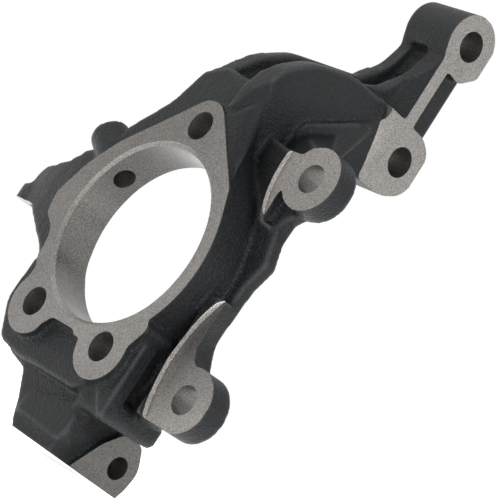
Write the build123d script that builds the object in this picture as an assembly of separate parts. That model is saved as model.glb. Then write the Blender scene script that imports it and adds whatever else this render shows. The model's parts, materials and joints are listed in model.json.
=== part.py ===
from build123d import *
from math import atan2, cos, hypot, radians, sin, tan
import os

# Steering knuckle in mm: X toward the caliper, Y inboard, Z up
# Origin: hub bore centre on the machined hub face

# Hub seat
bore_d = 84.0
bore_chamfer = 1.5
hub_depth = 20.5
ring_wall = 8.0
ring_shift = 0.6
bolt_wall = 4.95
bolt_angles = (88, 238, 298)
bolt_hole_d = 13.5
bolt_circle_r = bore_d / 2 + bolt_wall + bolt_hole_d / 2
spot_face_d = 25.0
lobe_radii = (12.0, 15.0, 14.6)
saddle_z = -47.0
relief = (12.0, 28.0)

# Speed sensor
sensor_angle = 150.2
sensor_y = 11.2
sensor_hole_d = 10.2
sensor_boss_d = 17.6
sensor_reach = 72.0

# Caliper ears
ear_y = 15.0
ear_depth = 12.0
ear_hole_d = 13.0
ear_d = 28.4
ear_upper = (61.8, 54.8)
ear_lower = (68.6, -48.0)
ledge_upper = (93.3, 57.0, 50.0)
ledge_lower = (113.3, -37.0, 63.6)
step_height = 1.1

# Strut tab
strut_x = 20.0
strut_width = 29.0
strut_hole_d = 14.4
strut_height = 157.0
strut_pitch = 62.0
strut_reach = 92.6
strut_lobe_d = 29.0
strut_edge = 14.0
strut_web = (-4.5, 13.0)
arm_x = 19.2

# Ball joint clamp
stud_xy = (2.0, 34.0)
stud_d = 20.0
stud_top = -71.0
block_y = (11.0, 46.0)
block_tilt = 3.9
block_drop = 96.3
lug_x = (-16.5, 21.5)
pinch_yz = (47.3, -86.5)
pinch_hole_d = 10.5
pinch_spot_d = 22.0
slot_w = 3.0

# Steering arm
tie_reach = 103.0
tie_inboard = 32.0
tie_z = (-7.3, 0.8)
tie_boss_d = 27.0
tie_small_d = 13.0
tie_taper = 1 / 10

# Cutters pass the part by this much
past = 200.0


def fan(corners):
    "Closed outline of straight sides, each corner (u, v, radius) rounded"
    edges, ends = [], []
    count = len(corners)
    for i, (u, v, r) in enumerate(corners):
        a, c = corners[i - 1], corners[(i + 1) % count]
        if r == 0:
            ends.append(((u, v), (u, v)))
            continue
        da, dc = hypot(a[0] - u, a[1] - v), hypot(c[0] - u, c[1] - v)
        ua, uc = ((a[0] - u) / da, (a[1] - v) / da), ((c[0] - u) / dc, (c[1] - v) / dc)
        half = atan2(hypot(ua[0] - uc[0], ua[1] - uc[1]), hypot(ua[0] + uc[0], ua[1] + uc[1]))
        cut = r / tan(half)
        mid = (ua[0] + uc[0], ua[1] + uc[1])
        size = hypot(*mid)
        far = r / sin(half) - r
        first, last = (u + ua[0] * cut, v + ua[1] * cut), (u + uc[0] * cut, v + uc[1] * cut)
        edges.append(ThreePointArc(first, (u + mid[0] / size * far, v + mid[1] / size * far), last))
        ends.append((first, last))
    for i in range(count):
        p, q = ends[i - 1][1], ends[i][0]
        if hypot(p[0] - q[0], p[1] - q[1]) > 1e-6:
            edges.append(Line(p, q))
    return make_face(Wire.combine(edges)[0])


def disc(u, v, r):
    return Pos(u, v) * Circle(r)


def front(sketch, y0, y1):
    "Prism between two planes across Y, its sketch in X and Z"
    return extrude(Plane((0, y1, 0), (1, 0, 0), (0, -1, 0)) * sketch, y1 - y0)


def side(sketch, x0, x1):
    "Prism between two planes across X, its sketch in Y and Z"
    return extrude(Plane((x0, 0, 0), (0, 1, 0), (1, 0, 0)) * sketch, x1 - x0)


def top(sketch, z0, z1):
    "Prism between two heights, its sketch in X and Y"
    return extrude(Plane((0, 0, z0)) * sketch, z1 - z0)


def rod(start, direction, d, length, d_end=None):
    plane = Plane(start, z_dir=direction)
    solid = Cone(d / 2, d_end / 2, length) if d_end else Cylinder(d / 2, length)
    return plane * Pos(0, 0, length / 2) * solid


def poly(points):
    return fan([(u, v, 0) for u, v in points])


def section_x(x, points):
    return Plane((x, 0, 0), (0, 1, 0), (1, 0, 0)) * poly(points)


def section_y(y, points):
    return Plane((0, y, 0), (1, 0, 0), (0, -1, 0)) * poly(points)


def far_x(y):
    "Flank of the arm away from the caliper"
    return strut_x - strut_width - (72 - y) * 0.19


# Hub flange
holes = [(bolt_circle_r * cos(radians(a)), bolt_circle_r * sin(radians(a))) for a in bolt_angles]
ring_r = bore_d / 2 + ring_wall
flange = Pos(ring_shift, 0) * Circle(ring_r - ring_shift)
for hole, lobe_radius in zip(holes, lobe_radii):
    flange += disc(*hole, lobe_radius)
flange += fan([(-5.5, 63.1, 0), (-22, 48, 90), (-39, 33, 50), (-50.5, 17.5, 40), (-57.6, 1, 6),
               (-55.5, -9, 4), (-45.8, -14.5, 10), (-43, -30, 0), (0, -20, 0), (20, 20, 0), (0, 60, 0)])
flange += fan([(10.3, 62, 0), (39.2, 34.4, 4), (46, 20, 0), (20, 0, 0)])
flange += fan([(39.5, -26, 0), (43.6, -32, 3), (38.5, -43, 0), (25, -40, 0)])
flange += fan([(-45, -26, 0), (-40.5, -33, 5), (-42, -41, 0), (-25, -40, 0)])
flange -= fan([(-19, -62, 0), (-16.5, -52, 3), (-11.5, saddle_z, 3), (4.5, saddle_z, 3), (9, -52, 3),
               (12, -62, 0)])
body = front(flange, 0, hub_depth)

# Shoulder from the flange to the arm
body += front(fan([(-46, 41, 6), (-29, 60, 30), (-21.5, 77.5, 5), (-8, 84, 8), (4, 80, 6),
                   (6, 50, 0), (-20, 20, 0), (-52, 8, 4)]), 4.5, 21)
neck = loft([section_y(1, [(4.5, 65), (12, 60.5), (38.5, 34), (15, 22), (-15, 40)]),
             section_x(arm_x - 0.3, [(8.5, 80), (13.7, 64.6), (24.2, 44.8), (34, 52), (24, 80)])],
            ruled=True)
body += neck

# Arm of two ribs and a web
up_y, up_z = strut_reach, strut_height
low_y, low_z = strut_reach + 0.6, strut_height - strut_pitch
edge_y = strut_reach + strut_edge
foot_y, foot_z = low_y - 9.2, low_z + 16.3
underside = [(foot_y, foot_z, 0), (low_y + 6.8, low_z - 13, 0), (low_y - 16.2, low_z - 17.7, 20),
             (56, 63, 30), (36, 52, 12), (20, 30, 0)]
near_rib = fan([(1.5, 50, 0), (2.2, 78, 6), (8.5, 92.5, 14), (21.3, 102.8, 30),
                (foot_y - 42, foot_z - 1.3, 30), (foot_y - 17, foot_z, 0)] + underside)
far_rib = fan([(4.7, 60, 0), (5.2, 77.5, 5), (19, 97, 20), (33, 107.3, 25),
               (foot_y - 32, foot_z + 2.1, 30), (foot_y - 16, foot_z + 7.2, 0)] + underside)
plan = fan([(far_x(0), 0, 0), (far_x(72), 72, 20), (far_x(72), up_y + 27, 0), (arm_x, up_y + 27, 0),
            (arm_x, 0, 0)])
trench = fan([(-30, 105, 0), (2, 105, 0), (9, 84, 3), (13.5, 81, 3), (24, 92, 20), (36, 100, 20),
              (54, 103, 20), (up_y - 20.6, up_z - 45, 16), (up_y - 8.6, up_z - 29, 20),
              (up_y - 5.6, up_z - 11, 4), (up_y - 18.6, up_z - 8, 0), (-30, past, 0)])
trench_plan = fan([(far_x(0) + 8, -5, 0), (-3.6, 76, 10), (-3.6, up_y + 27, 0), (8, up_y + 27, 0),
                   (8, 76, 10), (10.5, -5, 0)])
trough = side(trench, -30, 30) & top(trench_plan, 60, past)
arm = side(near_rib, 7.4, 30) & top(plan, 20, past)
flank = Plane((19.5, 7.7, 82), z_dir=(0.742, -0.611, -0.277))
arm -= flank * Pos(0, 0, past / 2) * Box(past, past, past)
arm += side(far_rib, -30, 7.8) & top(plan, 20, past)
body += arm

# Strut tab
crest = [(44, 106, 0), (66, up_z - 40.5, 14), (up_y - 14.6, up_z - 26, 20), (up_y - 10.1, up_z - 13, 12),
         (up_y - 12.6, up_z + 3, 0)]
web = fan(crest + [(up_y + 12, up_z + 3, 0), (up_y + 12, low_z - 5, 0), (60, low_z - 5, 0)])
outboard = fan(crest + [(up_y - 2.6, up_z + 3, 0), (up_y - 2.6, low_z + 5, 0)])
lobe_r = strut_lobe_d / 2
upper = disc(up_y, up_z, lobe_r) & Pos(edge_y - past / 2, up_z) * Rectangle(past, past)
upper += fan([(up_y - 12.6, up_z - 8, 6), (up_y - 9.1, up_z - 15, 0), (up_y + 5.4, up_z - 16.5, 4),
              (edge_y, up_z - 9, 4), (edge_y, up_z + 5, 0), (up_y - 12.6, up_z + 3, 0)])
lower = fan([(low_y - 26.7, low_z + 16.3, 1), (low_y - 22.7, low_z + 15.8, 0),
             (low_y + 4.8, low_z + 15.3, 12), (edge_y, low_z + 10, 8), (edge_y, low_z - 10.5, 12),
             (low_y - 0.2, low_z - 17.7, 20), (low_y - 16.2, low_z - 17.7, 1),
             (low_y - 17.7, low_z - 9, 4), (low_y - 21.7, low_z + 6, 4)])
strip = Pos(low_y - 7.8, (low_z + up_z) / 2) * Rectangle(5.6, strut_pitch - 17)
tab_back = strut_x - strut_width
body += side(upper + lower + strip, strut_web[1], strut_x)
body += side(web + upper + lower, *strut_web)
slope = fan([(12, low_y - 18.7, 0), (strut_x, low_y - 10.4, 0), (strut_x, low_y - 7.2, 0),
             (12, low_y - 7.2, 0)])
body += top(slope, low_z + 9, up_z) & side(web, 11, strut_x)
body += side(outboard + upper + lower + strip, tab_back, strut_web[0])
body -= trough

# Caliper ears, the steps beside their faces and the spine
ear_back = ear_y + ear_depth
ear_r = ear_d / 2
recess = [(61.8, 40.2, 0), (55.2, 42.6, 3), (52.2, 51, 1.2), (49.8, 49.4, 1.2), (48.8, 43, 4),
          (49.3, 31, 0)]
ear_top = fan([(43, 62.3, 0), (50, 62.3, 2), (62, 69, 0), (66, 50, 0)] + recess + [(46, 40, 0)])
neck_front = [(50, -6), (57.8, -5.5), (57.3, -18), (58, -28), (61, -33), (68, -36), (68, -62), (50, -62)]
neck_back = [(48, -6), (55.6, -5.5), (54, -18), (55.8, -27), (59.8, -33), (68, -36), (68, -62), (50, -62)]
ear_neck = loft([section_y(ear_y, neck_front), section_y(ear_back, neck_back)], ruled=True)
ears = front(ear_top + disc(*ear_upper, ear_r), ear_y, ear_back)
ears += front(disc(*ear_lower, ear_r), ear_y, ear_back)
bank_y = ear_y - step_height
bank_top = loft([section_y(bank_y, [(43, 62.3), (42.2, 52), (44.3, 41), (48.8, 31), (50.5, 32),
                                    (54, 62.3)]),
                 section_y(ear_back, [(30, 62.3), (33, 52), (40, 41), (45, 22), (56, 25), (60, 62.3)])],
                ruled=True)
bank_low = loft([section_y(bank_y, [(56.8, -5.5), (50.8, -19), (48.2, -37), (50, -50), (53, -62), (56, -62),
                                    (56, -16), (58.6, -5.5)]),
                 section_y(ear_back, [(49, -5.5), (46, -19), (41, -37), (40, -50), (40, -66), (54, -64),
                                      (53, -16), (53.5, -5.5)])], ruled=True)
ledge_top = front(disc(*ledge_upper), 0, ear_y)
ledge_low = front(disc(*ledge_lower), 0, ear_y)
notch = front(fan(recess + [(62, 31, 0)]), ear_y - 2, ear_y + 5.5)
body += ears + ear_neck + (bank_top - ledge_top - notch) + (bank_low - ledge_low)
spine = fan([(20, 66, 0), (60, 60, 0), (64, 44, 0), (54, 33.5, 5), (60.5, 15.5, 4), (56.5, 4.5, 20),
             (54.3, -22, 12), (62, -36, 0), (60, -60, 0), (30, -68, 0), (0, -60, 0), (30, 0, 0)])
body += front(spine, ear_y + 5.5, ear_back)
pad = fan([(30.5, 58, 0), (31, 79, 6), (72, 104.5, 3), (65, 91, 6), (59, 76, 10), (45, 58, 0)])
body += side(pad, 17, arm_x + 3.2)
gusset = loft([section_x(arm_x + 1, [(30, 62), (31.5, 71), (36, 77), (52, 86), (56, 79), (50, 68)]),
               section_x(54, [(15.2, 48), (15.2, 60), (15.2, 67.5), (26.8, 67.5), (26.8, 60),
                              (26.8, 48)])], ruled=True)
body += gusset

# Lower body, its ledge and the clamp block
apron = fan([(-50.5, -26, 6), (-52, -50, 12), (-41, -66.5, 8), (-26, -68.5, 8), (17, -68, 4),
             (29, -61, 4), (39.5, -71.5, 1), (42.8, -71.5, 1.5), (42.8, -36, 3), (0, -20, 0)])
shell = fan([(-49, -30, 0), (-52, -58, 10), (-38, -69, 8), (-24, -72, 8), (40, -72, 0), (36, -55, 0),
             (36, -20, 0), (0, -20, 0)])
rail = fan([(20, -72.5, 0), (43.5, -72.5, 4), (43.5, -62, 4), (20, -60, 0)])
body += front(apron, 4.5, 12) + front(shell, 10.5, 27) + front(rail, 8, 38)
deep = -block_drop - 5
block = loft([section_y(block_y[0], [(-29, -58), (-25.5, -70), (-15.8, -84), (-11.8, -92), (-3, deep),
                                     (18.5, deep), (20.3, -90), (22.5, -82), (19.5, -74), (11, -58)]),
              section_y(block_y[1], [(-36, -58), (-34, -70), (-27, -84), (-23, -92), (-18, deep),
                                     (18.5, deep), (16, -90), (15, -82), (15, -74), (16, -58)])],
             ruled=True)
body += block
lug = fan([(23.5, deep - 3, 0), (24.5, -95, 0), (33, -81, 10), (40.5, -73.6, 4), (52.5, -73.2, 4),
           (58.6, -84, 10), (57, -93, 8), (52, deep - 3, 0)])
body += side(lug, *lug_x)

# Steering arm
tie_x = -tie_reach
end_x = tie_x - 15
rod_arm = fan([(-40, 34, 0), (-70, 26, 12), (-80, 17.5, 12), (tie_x + 10, 14, 15),
               (tie_x + 1.5, 12.5, 4), (tie_x - 7, 3, 3), (end_x, 0.5, 0), (end_x, tie_z[0], 0),
               (tie_x + 12, tie_z[0], 3), (-78, -14, 15), (-62, -22.5, 6), (-54, -30, 5),
               (-54.6, -42, 6), (-40, -45, 0)])
rod_plan = fan([(-40, 8, 0), (-70, 11, 30), (-82, 13, 30), (tie_x + 10, 16, 20), (tie_x - 1, 20, 10),
                (tie_x - 9, 26, 0), (tie_x + 3, 44, 0), (tie_x + 15, 34, 6), (-76, 29, 20),
                (-60, 26, 10), (-40, 24, 0)])
body += front(rod_arm, 0, 60) & top(rod_plan, -60, 60)
body += top(disc(tie_x, tie_inboard, tie_boss_d / 2), *tie_z)

# Sensor boss
aim = Vector(cos(radians(sensor_angle)), 0, sin(radians(sensor_angle)))
body += rod(aim * 44 + Vector(0, sensor_y, 0), aim, sensor_boss_d, sensor_reach - 44)

# Machining
body -= Pos(0, -past / 2, 0) * Box(past * 2, past, past * 2)
body -= front(Circle(bore_d / 2), -1, past)
body -= rod((0, hub_depth, 0), (0, 1, 0), bore_d, relief[0], bore_d + relief[1])
body -= rod((0, 0, 0), (0, 1, 0), bore_d + 2 * bore_chamfer, bore_chamfer, bore_d)
for x, z in holes:
    body -= rod((x, -1, z), (0, 1, 0), bolt_hole_d, past)
    body -= rod((x, ear_back, z), (0, 1, 0), spot_face_d, past)
for x, z in (ear_upper, ear_lower):
    body -= rod((x, 0, z), (0, 1, 0), ear_hole_d, past)
for y, z in ((up_y, up_z), (low_y, low_z)):
    body -= rod((strut_x + 1, y, z), (-1, 0, 0), strut_hole_d, strut_width + 2)
body -= rod(aim * 30 + Vector(0, sensor_y, 0), aim, sensor_hole_d, sensor_reach)
floor = Plane((0, 30, -block_drop), z_dir=(0, sin(radians(block_tilt)), cos(radians(block_tilt))))
body -= floor * Pos(0, 0, -past / 2) * Box(past, past, past)
body -= rod((*stud_xy, stud_top), (0, 0, -1), stud_d, past)
body -= Pos(stud_xy[0], stud_xy[1] + past / 2, stud_top - past / 2) * Box(slot_w, past, past)
body -= rod((lug_x[1] + 1, *pinch_yz), (-1, 0, 0), pinch_hole_d, past)
body -= rod((lug_x[0], *pinch_yz), (-1, 0, 0), pinch_spot_d, past)
tie_depth = tie_boss_d
body -= rod((tie_x, tie_inboard, tie_z[0]), (0, 0, 1), tie_small_d, tie_depth,
            tie_small_d + tie_depth * tie_taper)

body = body.solids().sort_by(SortBy.VOLUME)[-1]
os.makedirs("parts", exist_ok=True)
export_step(body, "parts/steering_knuckle.step")
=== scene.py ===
import json
import math

import bmesh
import bpy
from mathutils import Matrix, Vector

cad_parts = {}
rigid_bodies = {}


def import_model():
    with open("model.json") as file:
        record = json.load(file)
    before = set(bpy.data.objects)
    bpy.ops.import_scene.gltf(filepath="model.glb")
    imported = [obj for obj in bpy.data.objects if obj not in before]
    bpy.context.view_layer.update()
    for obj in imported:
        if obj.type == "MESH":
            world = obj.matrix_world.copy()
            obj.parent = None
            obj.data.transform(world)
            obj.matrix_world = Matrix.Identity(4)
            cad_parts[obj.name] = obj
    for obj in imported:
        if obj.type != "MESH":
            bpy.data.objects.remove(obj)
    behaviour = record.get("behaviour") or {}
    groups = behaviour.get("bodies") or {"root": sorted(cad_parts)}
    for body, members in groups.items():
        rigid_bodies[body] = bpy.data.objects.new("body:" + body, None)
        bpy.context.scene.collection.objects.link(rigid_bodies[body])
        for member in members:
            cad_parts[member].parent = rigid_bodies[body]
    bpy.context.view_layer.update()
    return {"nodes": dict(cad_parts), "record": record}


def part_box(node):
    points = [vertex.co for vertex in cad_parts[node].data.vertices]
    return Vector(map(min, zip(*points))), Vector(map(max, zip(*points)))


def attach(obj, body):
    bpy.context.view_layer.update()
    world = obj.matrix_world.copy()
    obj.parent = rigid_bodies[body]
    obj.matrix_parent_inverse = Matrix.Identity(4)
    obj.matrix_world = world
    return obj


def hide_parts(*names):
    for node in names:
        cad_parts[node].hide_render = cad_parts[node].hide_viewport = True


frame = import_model()
node = frame["nodes"]["steering_knuckle"]
low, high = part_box("steering_knuckle")
mounts = {m["name"]: m for m in frame["record"]["mounts"]}

# Sizes are in metres. X points toward the caliper, Y inboard and Z up
X_AXIS, Y_AXIS = Vector((1, 0, 0)), Vector((0, 1, 0))
DOWN = Vector((0, 0, -1))
HUB_CENTRE = Vector((0, 0, 0))

# Cast skin
ALLOWANCE = 0.0025
VOXEL = 0.00095
ROUNDING_PASSES = 13
RESTORING_PASSES = 5
SMOOTHING = 0.5
SKIN_GROWTH = 0.0003
WELD = 1e-6
SHARP_ANGLE = math.radians(35)

# Tests for machined faces: distance from the surface, and cosines with its normal or axis
FIT = 0.00004
CURVE_FIT = 3 * FIT
SAME_WAY = 0.995
EXACTLY_SAME_WAY = 0.999
ALMOST_DOWN = 0.99
ACROSS = 0.05

# Plugs that close the holes of the rough casting, longer where an end is machined
PLUG_OVERLAP = 0.0006
FACED_IN_FRONT = ("strut", "pinch", "hub_bore")
FACED_AT_BACK = ("strut", "caliper", "hub_bolt")

# Cutters
CUTTER_SIDES = 96
CUTTER_DEPTH = 0.02
CUTTER_REACH = 0.2
HOLE_CUTTER_EXTRA = 0.012
HUB_CUT_HEIGHT = 0.12
BORE_CHAMFER = 0.0015
CHAMFER_LEAD = 0.001
STRUT_CUT_Y, STRUT_CUT_Z = 0.0695, 0.072
STRUT_FAR_CUT_INSET = 0.004
PINCH_CUT_Y, PINCH_CUT_FAR_Y = 0.022, 0.09
PINCH_CUT_TOP = -0.0732

# Arcs at which the caliper ears step down: face, x, z and radius
LEDGE_ARCS = (("caliper_face_upper", 0.0933, 0.057, 0.050),
              ("caliper_face_lower", 0.1133, -0.037, 0.0636))
LEDGE_CUT_Y = -0.03
LEDGE_SIDES = 200

# Slot of the ball-joint clamp. Its tops and bottom are from the middle of the stud's bore
CLAMP_MOUTH = 0.01
SLOT_WIDTH = 0.003
SLOT_DEPTH = 0.04
SLOT_TOP = 0.0125
SLOT_PLUG_OVERLAP = 0.0004
SLOT_PLUG_DEPTH = 0.0235
SLOT_PLUG_BOTTOM, SLOT_PLUG_TOP = 0.011, 0.0101

# Machined floor of the clamp block
BLOCK_FLOOR_Z = -0.0963
BLOCK_FLOOR = Vector((0, 0.030, BLOCK_FLOOR_Z))
BLOCK_FLOOR_RISE = 0.003
BLOCK_TILT = math.radians(3.9)
BLOCK_CUT_HALF = Vector((0.1, 0.1, CUTTER_DEPTH))

# The raised front of the clamp block, bare of its cast letters
BLOCK_PAD = ((-0.0103, 0.0107, -0.0785), (0.015, 0.0105, -0.0705), (-0.011, 0.0092, -0.0878),
             (0.0215, 0.0092, -0.0893), (0.0248, 0.0093, -0.084), (0.024, 0.0096, -0.0775),
             (0.0235, 0.0100, -0.0715), (0.0195, 0.021, -0.070), (0.0195, 0.021, -0.090))

# Tie-rod boss
TIE_FACE_Z = -0.0073
TIE_CUT_HALF = 0.0165
TIE_CUT_DEPTH = 0.01
TIE_SMALL_R = 0.0065
TIE_TAPER = 0.05
TIE_TAPER_BELOW, TIE_TAPER_ABOVE = 0.001, 0.03

# Corners that the mould left softer than the rest: centre and radius
SOFT_SPOTS = (((0.0300, 0.0350, 0.0750), 0.011), ((0.0225, 0.0640, 0.0980), 0.008),
              ((0.0030, 0.0055, 0.0785), 0.012), ((0.0270, 0.0070, -0.0700), 0.010),
              ((-0.0975, 0.0190, 0.0115), 0.012), ((-0.1040, 0.0190, -0.0010), 0.008))
SOFTENING_PASSES = 40

# Cast iron, as colours in linear light
CAST_DARK, CAST_LIGHT = (0.0073, 0.008, 0.0087), (0.011, 0.0119, 0.0128)
CAST_GRAIN = (0.026, 0.0275, 0.029)
# Painted highlight for the edges, painted shade for the hollows, and painted glints
CAST_EDGE_HIGHLIGHT = (0.05, 0.053, 0.056)
CAST_HOLLOW_SHADE = (0.002, 0.002, 0.0023)
CAST_GLINT = (0.05, 0.052, 0.055)
CAST_SPECULAR = 0.16
GRAIN_TURN = (0.6, 0.4, 0.9)

# Bare metal
METAL_DARK, METAL_LIGHT = (0.10, 0.094, 0.088), (0.29, 0.277, 0.262)
METAL = 0.75
METAL_ROUGH = (0.36, 0.52)
MARK_DEPTH = 0.000015
BORE_ROUGH = (0.22, 0.34)
DRILLED_ROUGH = (0.3, 0.45)
DRILLED_DEPTH = 0.00003

# Noises, in cells per metre
PATCHES, LUMPS, GRAINS, GLINTS, SAND = 32.0, 330.0, 950.0, 1150.0, 1250.0
STAINS, COARSE_SPECKLE, FINE_SPECKLE = 45.0, 1300.0, 2300.0

# Pointiness at which the painted edge highlight and the painted shade of the hollows start and end
EDGE_HIGHLIGHT_RANGE = (0.508, 0.55)
HOLLOW_SHADE_RANGE = (0.495, 0.46)

# Tool marks: pitch of each kind, and the middle of each milled face's arcs
TURNING_PITCH, BORING_PITCH, MILLING_PITCH = 0.0005, 0.0004, 0.0006
STEP_PITCH, DRILLING_PITCH = 0.0008, 0.0005
MILLING_CENTRES = {"strut_tab": (0, 0.30, 0.30), "pinch_lug": (0, 0.1, -0.2),
                   "block_floor": (0.1, 0.2, 0), "tie_boss": (-0.1, 0, 0)}

# Brightness of the machined surfaces, where it isn't 1: painted light and shade, lit and shaded copies
# of one bare metal, darker in the bore and holes
LIT_AND_SHADED_TONES = {"hub_face": 0.86, "step": 3.0, "strut_tab": 1.22, "pinch_lug": 0.55, "tie_boss": 1.3,
         "bore": 0.72, "hole": 0.72, "cross_hole": 0.5}

# Painted light and shade, a brightness gradient: axis, where it starts and ends along the axis,
# brightness at both
EAR_PAINTED_GRADIENT = {"caliper_face_lower": ((0.5, 0, -0.866), 0.045, 0.086, 0.44, 1.1)}
BORE_PAINTED_GRADIENT = ((0, 0, 1), -0.006, 0.016, 1.15, 0.62)
HUB_PAINTED_GRADIENT = ((0.73, 0, -0.68), -0.04, 0.04, 0.78, 1.06)

# A hole's wall counts as drilled this far past its stated ends
HOLE_MARGIN = 0.006

# The photograph's camera
CAMERA_PLACE = Vector((0.64049, -0.51375, -0.06150))
CAMERA_RIGHT = Vector((0.59895201, 0.59529547, 0.53561161))
CAMERA_DOWN = Vector((0.32904098, 0.42683117, -0.84234624))
CAMERA_AHEAD = Vector((-0.73006063, 0.68076314, 0.05977478))
FOCAL_PIXELS = 1957.47
CENTRE_PIXEL = (235.94, 334.14)
IMAGE_SIZE = 500
SENSOR_WIDTH = 36.0

# Studio. Lights: name, place, size and power in watts
FLOOR_RADIUS, FLOOR_GAP = 6, 0.0002
FLOOR_TONE = (0.85, 0.85, 0.85, 1)
FLOOR_ROUGH = 0.9
FLOOR_GLOW = 0.85
WHITE = (1, 1, 1, 1)
LIGHTS = (("key", (-0.9, -1.1, 1.3), 0.9, 11), ("side", (1.5, -0.3, 0.5), 0.8, 9))
LIGHT_TARGET = Vector((0, 0.03, 0.02))


# Mounts
def place(name):
    return Vector(mounts[name]["pos_m"])


def heading(name):
    return Vector(mounts[name]["axis"])


def radius_of(mount):
    return mount["dims"]["r_mm"] / 1000


def half_length(mount):
    return mount["dims"]["length_mm"] / 2000


def round_mounts():
    return [m for m in mounts.values() if m["kind"] in ("bore", "clamp")]


def span(mount, front=0.0, back=0.0):
    "Both ends of a hole's wall, each lengthened"
    axis, half = Vector(mount["axis"]), half_length(mount)
    middle = Vector(mount["pos_m"])
    if mount["kind"] == "clamp":
        front += CLAMP_MOUTH
    return middle - axis * (half + back), middle + axis * (half + front)


BORE_R = radius_of(mounts["hub_bore"])
PINCH_X = place("pinch_bolt").x + half_length(mounts["pinch_bolt"])
PINCH_FACE = Vector((PINCH_X, 0, 0))
TIE_FACE = Vector((0, 0, TIE_FACE_Z))


# Meshes
def link(name, data):
    thing = bpy.data.objects.new(name, data)
    bpy.context.scene.collection.objects.link(thing)
    return thing


def mesh_from(work, name):
    mesh = bpy.data.meshes.new(name)
    work.to_mesh(mesh)
    work.free()
    return mesh


def cylinder(start, end, radius, end_radius=None, sides=CUTTER_SIDES, work=None):
    "A cylinder or cone, alone or added to a mesh"
    work = bmesh.new() if work is None else work
    middle, along = (start + end) / 2, end - start
    turn = along.to_track_quat("Z", "Y").to_matrix().to_4x4()
    last = radius if end_radius is None else end_radius
    bmesh.ops.create_cone(work, cap_ends=True, segments=sides, radius1=radius, radius2=last,
                          depth=along.length, matrix=Matrix.Translation(middle) @ turn)
    return work


def box(corner_a, corner_b, turn=None, work=None):
    "A box, alone or added to a mesh"
    work = bmesh.new() if work is None else work
    a, b = Vector(corner_a), Vector(corner_b)
    size = Matrix.Diagonal((*(abs(b[i] - a[i]) for i in range(3)), 1))
    matrix = Matrix.Translation((a + b) / 2) @ (turn or Matrix.Identity(4)) @ size
    bmesh.ops.create_cube(work, size=1, matrix=matrix)
    return work


def bake(piece):
    "Puts the result of all modifiers into the mesh"
    graph = bpy.context.evaluated_depsgraph_get()
    mesh = bpy.data.meshes.new_from_object(piece.evaluated_get(graph))
    piece.modifiers.clear()
    piece.data = mesh


def add_smoothing(piece, name, factor, passes):
    smoothing = piece.modifiers.new(name, "SMOOTH")
    smoothing.factor = factor
    smoothing.iterations = passes
    return smoothing


def on_plane(centre, facing, point, normal, alike=SAME_WAY):
    return facing.dot(normal) > alike and abs((centre - point).dot(normal)) < FIT


# Rough casting: the CAD shape with its holes filled and metal left on its machined faces
def machined_planes():
    "A point and the normal of each machined plane"
    planes = [(place(name), heading(name)) for name, m in mounts.items() if m["kind"] == "flat_face"]
    tilt = Vector((0, -math.sin(BLOCK_TILT), -math.cos(BLOCK_TILT)))
    return planes + [(PINCH_FACE, heading("pinch_bolt")), (BLOCK_FLOOR, tilt), (TIE_FACE, DOWN)]


def leave_allowance(work):
    for point, normal in machined_planes():
        flat = [face for face in work.faces
                if on_plane(face.calc_center_median(), face.normal, point, normal, EXACTLY_SAME_WAY)]
        grown = bmesh.ops.extrude_face_region(work, geom=flat)["geom"]
        corners = [item for item in grown if isinstance(item, bmesh.types.BMVert)]
        bmesh.ops.translate(work, vec=normal * ALLOWANCE, verts=corners)
        bmesh.ops.delete(work, geom=flat, context="FACES")


def fill_holes(work):
    for mount in round_mounts():
        front = ALLOWANCE if mount["name"].startswith(FACED_IN_FRONT) else 0
        back = ALLOWANCE if mount["name"].startswith(FACED_AT_BACK) else 0
        cylinder(*span(mount, front, back), radius_of(mount) + PLUG_OVERLAP, work=work)
    stud = place("ball_stud_clamp")
    box((stud.x - SLOT_WIDTH / 2 - SLOT_PLUG_OVERLAP, stud.y, stud.z - SLOT_PLUG_BOTTOM),
        (stud.x + SLOT_WIDTH / 2 + SLOT_PLUG_OVERLAP, stud.y + SLOT_PLUG_DEPTH, stud.z + SLOT_PLUG_TOP),
        work=work)


def blank():
    work = bmesh.new()
    work.from_mesh(node.data)
    bmesh.ops.remove_doubles(work, verts=work.verts, dist=WELD)
    leave_allowance(work)
    fill_holes(work)
    pad = [work.verts.new(corner) for corner in BLOCK_PAD]
    bmesh.ops.convex_hull(work, input=pad)
    bmesh.ops.recalc_face_normals(work, faces=work.faces)
    return link("knuckle_casting", mesh_from(work, "knuckle_casting"))


def round_edges(casting):
    remesh = casting.modifiers.new("cast skin", "REMESH")
    remesh.mode = "VOXEL"
    remesh.voxel_size = VOXEL
    add_smoothing(casting, "cast radii", SMOOTHING, ROUNDING_PASSES)
    add_smoothing(casting, "lost size", -SMOOTHING, RESTORING_PASSES)
    bake(casting)


def soften_corners(casting):
    group = casting.vertex_groups.new(name="soft corners")
    for vertex in casting.data.vertices:
        weight = max(1 - (vertex.co - Vector(centre)).length / radius for centre, radius in SOFT_SPOTS)
        if weight > 0:
            group.add([vertex.index], min(2 * weight, 1), "REPLACE")
    add_smoothing(casting, "soft corners", SMOOTHING, SOFTENING_PASSES).vertex_group = group.name
    bake(casting)
    casting.vertex_groups.clear()


def grow(casting):
    "Moves the skin outward, within the CAD's box"
    spots = [v.co + v.normal * SKIN_GROWTH for v in casting.data.vertices]
    kept = [(min(max(s.x, low.x), high.x), min(s.y, high.y), min(s.z, high.z)) for s in spots]
    casting.data.vertices.foreach_set("co", [value for spot in kept for value in spot])


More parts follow.
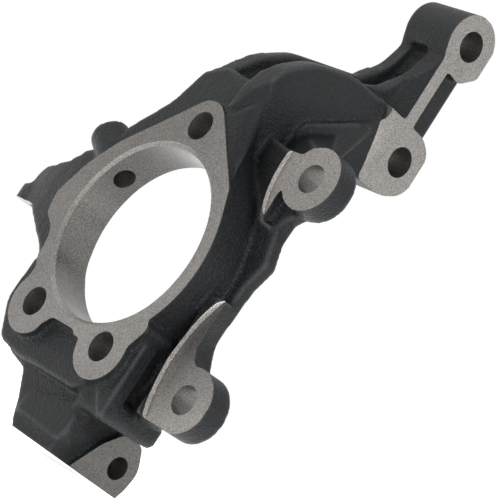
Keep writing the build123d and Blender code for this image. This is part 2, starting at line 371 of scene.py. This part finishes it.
# Machining
def cutters():
    "Name and mesh of all that machining takes away"
    for mount in round_mounts():
        ends = span(mount, HOLE_CUTTER_EXTRA, HOLE_CUTTER_EXTRA)
        yield mount["name"], cylinder(*ends, radius_of(mount))
    yield "hub_face", box((-CUTTER_REACH, -CUTTER_DEPTH, -HUB_CUT_HEIGHT),
                          (CUTTER_REACH, 0, HUB_CUT_HEIGHT))
    yield "bore_chamfer", cylinder(Vector((0, -CHAMFER_LEAD, 0)), Vector((0, BORE_CHAMFER, 0)),
                                   BORE_R + BORE_CHAMFER + CHAMFER_LEAD, BORE_R)
    for name, x, z, radius in LEDGE_ARCS:
        start, end = Vector((x, LEDGE_CUT_Y, z)), Vector((x, place(name).y, z))
        yield name, cylinder(start, end, radius, sides=LEDGE_SIDES)

    near, far = place("strut_face").x, place("strut_face_far").x
    strut = box((near, STRUT_CUT_Y, STRUT_CUT_Z), (near + CUTTER_DEPTH, CUTTER_REACH, CUTTER_REACH))
    yield "strut_faces", box((far - CUTTER_DEPTH, STRUT_CUT_Y + STRUT_FAR_CUT_INSET, STRUT_CUT_Z),
                             (far, CUTTER_REACH, CUTTER_REACH), work=strut)
    yield "pinch_face", box((PINCH_X, PINCH_CUT_Y, low.z - CUTTER_DEPTH),
                            (PINCH_X + CUTTER_DEPTH, PINCH_CUT_FAR_Y, PINCH_CUT_TOP))

    turn = Matrix.Rotation(-BLOCK_TILT, 4, "X")
    middle = BLOCK_FLOOR + turn @ (DOWN * CUTTER_DEPTH)
    yield "block_floor", box(middle - BLOCK_CUT_HALF, middle + BLOCK_CUT_HALF, turn)
    stud = place("ball_stud_clamp")
    yield "clamp_slot", box((stud.x - SLOT_WIDTH / 2, stud.y, low.z - CLAMP_MOUTH),
                            (stud.x + SLOT_WIDTH / 2, stud.y + SLOT_DEPTH, stud.z + SLOT_TOP))

    tie = place("tie_rod_taper")
    yield "tie_face", box((tie.x - TIE_CUT_HALF, tie.y - TIE_CUT_HALF, TIE_FACE_Z - TIE_CUT_DEPTH),
                          (tie.x + TIE_CUT_HALF, tie.y + TIE_CUT_HALF, TIE_FACE_Z))
    start = Vector((tie.x, tie.y, TIE_FACE_Z - TIE_TAPER_BELOW))
    end = Vector((tie.x, tie.y, TIE_FACE_Z + TIE_TAPER_ABOVE))
    yield "tie_taper", cylinder(start, end, TIE_SMALL_R, TIE_SMALL_R + (end.z - start.z) * TIE_TAPER)


def machine(casting):
    for name, work in cutters():
        bmesh.ops.recalc_face_normals(work, faces=work.faces)
        tool = link("tool_" + name, mesh_from(work, name))
        cut = casting.modifiers.new(name, "BOOLEAN")
        cut.operation = "DIFFERENCE"
        cut.solver = "MANIFOLD"
        cut.object = tool
    bake(casting)
    for tool in [o for o in bpy.data.objects if o.name.startswith("tool_")]:
        bpy.data.objects.remove(tool)


def finish_mesh(casting):
    "Keeps the lowest points at the CAD's floor and shades the rest smooth"
    for vertex in casting.data.vertices:
        vertex.co.z = max(vertex.co.z, low.z)
    for polygon in casting.data.polygons:
        polygon.use_smooth = True
    casting.data.set_sharp_from_angle(angle=SHARP_ANGLE)


# Materials
class Graph:
    "Short hand for the nodes of one material"

    def __init__(self, name):
        self.material = bpy.data.materials.new(name)
        self.material.use_nodes = True
        self.tree = self.material.node_tree
        self.shader = self.tree.nodes["Principled BSDF"]
        self.spot = self.add("TexCoord").outputs["Object"]
        turned = self.add("Mapping", {"Vector": self.spot, "Rotation": GRAIN_TURN})
        self.turned = turned.outputs["Vector"]

    def put(self, socket, value):
        if isinstance(value, bpy.types.NodeSocket):
            self.tree.links.new(value, socket)
        else:
            socket.default_value = value

    def add(self, kind, inputs=None, **settings):
        added = self.tree.nodes.new("ShaderNode" + kind)
        for key, value in settings.items():
            setattr(added, key, value)
        for key, value in (inputs or {}).items():
            self.put(added.inputs[key], value)
        return added

    def finish(self, **sockets):
        for key, value in sockets.items():
            self.put(self.shader.inputs[key.replace("_", " ")], value)
        return self.material

    def sum(self, a, b, weight):
        return self.add("Math", {0: b, 1: weight, 2: a}, operation="MULTIPLY_ADD").outputs[0]

    def scale(self, value, by):
        return self.add("Math", {0: value, 1: by}, operation="MULTIPLY").outputs[0]

    def noise(self, scale, detail=2.0, rough=0.5):
        inputs = {"Vector": self.turned, "Scale": scale, "Detail": detail, "Roughness": rough}
        return self.add("TexNoise", inputs).outputs["Fac"]

    def cells(self, scale):
        inputs = {"Vector": self.turned, "Scale": scale}
        return self.add("TexVoronoi", inputs, feature="SMOOTH_F1").outputs["Distance"]

    def remap(self, value, a, b, low=0.0, high=1.0):
        return self.add("MapRange", {0: value, 1: a, 2: b, 3: low, 4: high}).outputs[0]

    def mix(self, amount, first, second):
        blend = self.add("Mix", {"Factor": amount}, data_type="RGBA")
        for key, colour in (("A", first), ("B", second)):
            self.put(blend.inputs[key], (*colour, 1) if isinstance(colour, tuple) else colour)
        return blend.outputs["Result"]

    def vector(self, operation, *values):
        return self.add("VectorMath", dict(enumerate(values)), operation=operation).outputs

    def lines(self, distance, pitch):
        "Tool marks: noise along one distance only"
        inputs = {"W": self.scale(distance, 1 / pitch), "Scale": 1.0, "Detail": 2.0}
        return self.add("TexNoise", inputs, noise_dimensions="1D").outputs["Fac"]

    def radius(self, centre, axis):
        "Distance from the line through a point along one of the main axes"
        away = self.vector("SUBTRACT", self.spot, centre)[0]
        flat = self.vector("MULTIPLY", away, [1 - abs(v) for v in axis])[0]
        return self.vector("LENGTH", flat)["Value"]

    def along(self, axis):
        return self.vector("DOT_PRODUCT", self.spot, axis)["Value"]

    def bump(self, height, distance, strength):
        inputs = {"Height": height, "Distance": distance, "Strength": strength}
        return self.add("Bump", inputs).outputs["Normal"]


def cast_skin():
    """Sandy black iron, with painted highlights on its edges, and painted shade and painted glints in
    its hollows
    """
    g = Graph("cast_skin")
    patches, grain = g.noise(PATCHES, 4.0, 0.6), g.noise(GRAINS, 3.0, 0.6)
    sand = g.sum(g.sum(grain, g.cells(SAND), 0.8), g.noise(LUMPS, 2.0), 0.9)
    colour = g.mix(g.remap(patches, 0.3, 0.7), CAST_DARK, CAST_LIGHT)
    colour = g.mix(g.remap(grain, 0.45, 0.75, 0.0, 0.5), colour, CAST_GRAIN)
    # Painted light from pointiness: highlights on the edges, shade in the hollows
    edge = g.add("NewGeometry").outputs["Pointiness"]
    hollow_shade_mask = g.remap(edge, *HOLLOW_SHADE_RANGE)
    colour = g.mix(g.remap(edge, *EDGE_HIGHLIGHT_RANGE, 0.0, 0.7), colour, CAST_EDGE_HIGHLIGHT)
    colour = g.mix(g.scale(hollow_shade_mask, 0.35), colour, CAST_HOLLOW_SHADE)
    # Painted glints, only in the hollows
    glints = g.scale(g.remap(g.noise(GLINTS, 1.0), 0.52, 0.7), hollow_shade_mask)
    colour = g.mix(glints, colour, CAST_GLINT)
    return g.finish(Base_Color=colour, Roughness=g.remap(grain, 0.3, 0.7, 0.36, 0.52),
                    Specular_IOR_Level=CAST_SPECULAR, Normal=g.bump(sand, 0.0005, 0.9))


def machined(name, marks, pitch, tone, rough=METAL_ROUGH, depth=MARK_DEPTH, painted_gradient=None):
    """Bare metal: fine speckle over tool marks, and painted light and shade that grows along an axis"""
    g = Graph(name)
    # The tone brightens some faces and darkens others: painted light and shade
    dark, light = (tuple(value * tone for value in colour) for colour in (METAL_DARK, METAL_LIGHT))
    speckle, stain = g.noise(FINE_SPECKLE, 0.0), g.noise(STAINS, 3.0, 0.6)
    cut = g.lines(marks(g), pitch)
    shade = g.sum(g.sum(g.sum(speckle, g.noise(COARSE_SPECKLE, 0.0), 0.3), cut, 0.25), stain, 0.25)
    colour = g.mix(g.remap(shade, 0.6, 1.2), dark, light)
    # Painted light and shade: the brightness changes along the axis
    if painted_gradient:
        axis, *gradient_ends = painted_gradient
        amount = g.remap(g.along(axis), *gradient_ends)
        scaled = g.add("VectorMath", {0: colour, "Scale": amount}, operation="SCALE")
        colour = scaled.outputs[0]
    return g.finish(Base_Color=colour, Metallic=METAL, Roughness=g.remap(speckle, 0.3, 0.7, *rough),
                    Normal=g.bump(g.sum(cut, speckle, 0.8), depth, 0.6))


def ring_marks(centre, axis):
    return lambda g: g.radius(centre, axis)


def straight_marks(axis):
    return lambda g: g.along(axis)


# Which faces each machined surface has
def near_plane(polygon, point, normal):
    return on_plane(polygon.center, polygon.normal, point, normal)


def near_cylinder(polygon, point, axis, radius):
    away = polygon.center - point
    away -= axis * away.dot(axis)
    return abs(away.length - radius) < CURVE_FIT and abs(polygon.normal.dot(axis)) < ACROSS


def near_ledge(polygon, name):
    "On a caliper ear's face, and not on the other ear's, which lies in the same plane"
    return near_plane(polygon, place(name), heading(name)) and polygon.center.z * place(name).z > 0


def near_step(polygon, name, centre, radius):
    return near_cylinder(polygon, centre, Y_AXIS, radius) and polygon.center.y < place(name).y


def near_strut_face(polygon):
    return (near_plane(polygon, place("strut_face"), X_AXIS)
            or near_plane(polygon, place("strut_face_far"), -X_AXIS))


def near_pinch_face(polygon):
    return near_plane(polygon, PINCH_FACE, X_AXIS) and polygon.center.z < PINCH_CUT_TOP


def near_block_floor(polygon):
    return polygon.normal.z < -ALMOST_DOWN and polygon.center.z < BLOCK_FLOOR_Z + BLOCK_FLOOR_RISE


def near_chamfer(polygon):
    out = math.hypot(polygon.center.x, polygon.center.z) - BORE_R
    return polygon.center.y < BORE_CHAMFER and abs(out) < BORE_CHAMFER + FIT


def near_hole(polygon, mount):
    middle, axis = Vector(mount["pos_m"]), Vector(mount["axis"])
    inside = abs((polygon.center - middle).dot(axis)) < half_length(mount) + HOLE_MARGIN
    return inside and near_cylinder(polygon, middle, axis, radius_of(mount))


def milled(name, centre, axis, tone=1.0, painted_gradient=None):
    return machined("milled_" + name, ring_marks(centre, axis), MILLING_PITCH, tone, painted_gradient=painted_gradient)


def drilled(mount):
    axis = Vector(mount["axis"])
    across = mount["kind"] == "bore" and abs(axis.x) == 1
    return machined("drilled_" + mount["name"], straight_marks(axis), DRILLING_PITCH,
                    LIT_AND_SHADED_TONES["cross_hole" if across else "hole"], rough=DRILLED_ROUGH, depth=DRILLED_DEPTH)


def finishes():
    "Material and face test of each machined surface"
    hub_face = machined("turned_hub_face", ring_marks(HUB_CENTRE, Y_AXIS), TURNING_PITCH,
                        LIT_AND_SHADED_TONES["hub_face"], painted_gradient=HUB_PAINTED_GRADIENT)
    yield hub_face, lambda p: near_plane(p, HUB_CENTRE, -Y_AXIS)
    for name, x, z, radius in LEDGE_ARCS:
        centre = Vector((x, 0, z))
        yield (milled(name, centre, Y_AXIS, painted_gradient=EAR_PAINTED_GRADIENT.get(name)),
               lambda p, n=name: near_ledge(p, n))
        yield (machined("step_" + name, straight_marks(Y_AXIS), STEP_PITCH, LIT_AND_SHADED_TONES["step"]),
               lambda p, n=name, c=centre, r=radius: near_step(p, n, c, r))
    yield milled("strut_tab", MILLING_CENTRES["strut_tab"], X_AXIS, LIT_AND_SHADED_TONES["strut_tab"]), near_strut_face
    yield milled("pinch_lug", MILLING_CENTRES["pinch_lug"], X_AXIS, LIT_AND_SHADED_TONES["pinch_lug"]), near_pinch_face
    yield milled("block_floor", MILLING_CENTRES["block_floor"], DOWN), near_block_floor
    yield (milled("tie_boss", MILLING_CENTRES["tie_boss"], DOWN, LIT_AND_SHADED_TONES["tie_boss"]),
           lambda p: near_plane(p, TIE_FACE, DOWN))
    bore = machined("turned_bore", straight_marks(Y_AXIS), BORING_PITCH, LIT_AND_SHADED_TONES["bore"],
                    rough=BORE_ROUGH, painted_gradient=BORE_PAINTED_GRADIENT)
    yield bore, lambda p: near_cylinder(p, HUB_CENTRE, Y_AXIS, BORE_R)
    yield machined("turned_chamfer", straight_marks(Y_AXIS), BORING_PITCH, 1.0), near_chamfer
    for mount in round_mounts():
        if mount["name"] != "hub_bore":
            yield drilled(mount), lambda p, m=mount: near_hole(p, m)


def paint(casting):
    mesh = casting.data
    mesh.materials.clear()
    mesh.materials.append(cast_skin())
    tests = []
    for material, test in finishes():
        mesh.materials.append(material)
        tests.append(test)
    for polygon in mesh.polygons:
        polygon.material_index = next((i for i, test in enumerate(tests, 1) if test(polygon)), 0)


# Camera
def add_camera():
    offset = [(IMAGE_SIZE / 2 - c) / FOCAL_PIXELS for c in CENTRE_PIXEL]
    ahead = (CAMERA_AHEAD + CAMERA_RIGHT * offset[0] + CAMERA_DOWN * offset[1]).normalized()
    right = (CAMERA_RIGHT - ahead * CAMERA_RIGHT.dot(ahead)).normalized()
    up = right.cross(ahead)
    data = bpy.data.cameras.new("camera")
    data.sensor_width = SENSOR_WIDTH
    data.lens = FOCAL_PIXELS / IMAGE_SIZE * data.sensor_width
    camera = link("camera", data)
    turn = Matrix((right, up, -ahead)).transposed().to_4x4()
    camera.matrix_world = Matrix.Translation(CAMERA_PLACE) @ turn
    bpy.context.scene.camera = camera


# Studio
def add_light(name, start, size, power):
    data = bpy.data.lights.new(name, "AREA")
    data.size = size
    data.energy = power
    light = link(name, data)
    light.location = start
    light.rotation_euler = (LIGHT_TARGET - Vector(start)).to_track_quat("-Z", "Y").to_euler()


def add_floor():
    bpy.ops.mesh.primitive_circle_add(vertices=128, radius=FLOOR_RADIUS, fill_type="NGON",
                                      location=(0, 0, low.z - FLOOR_GAP))
    floor = bpy.context.object
    floor.name = "floor"
    white = bpy.data.materials.new("floor_white")
    white.use_nodes = True
    shader = white.node_tree.nodes["Principled BSDF"]
    shader.inputs["Base Color"].default_value = FLOOR_TONE
    shader.inputs["Roughness"].default_value = FLOOR_ROUGH
    shader.inputs["Emission Color"].default_value = WHITE
    shader.inputs["Emission Strength"].default_value = FLOOR_GLOW
    floor.data.materials.append(white)


def add_studio():
    add_floor()
    world = bpy.data.worlds.new("studio")
    bpy.context.scene.world = world
    world.use_nodes = True
    world.node_tree.nodes["Background"].inputs["Color"].default_value = WHITE
    world.node_tree.nodes["Background"].inputs["Strength"].default_value = 1.0
    for light in LIGHTS:
        add_light(*light)
    bpy.context.scene.view_settings.view_transform = "Standard"


casting = blank()
round_edges(casting)
soften_corners(casting)
grow(casting)
machine(casting)
finish_mesh(casting)

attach(casting, "root")
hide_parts("steering_knuckle")

paint(casting)
add_camera()
add_studio()
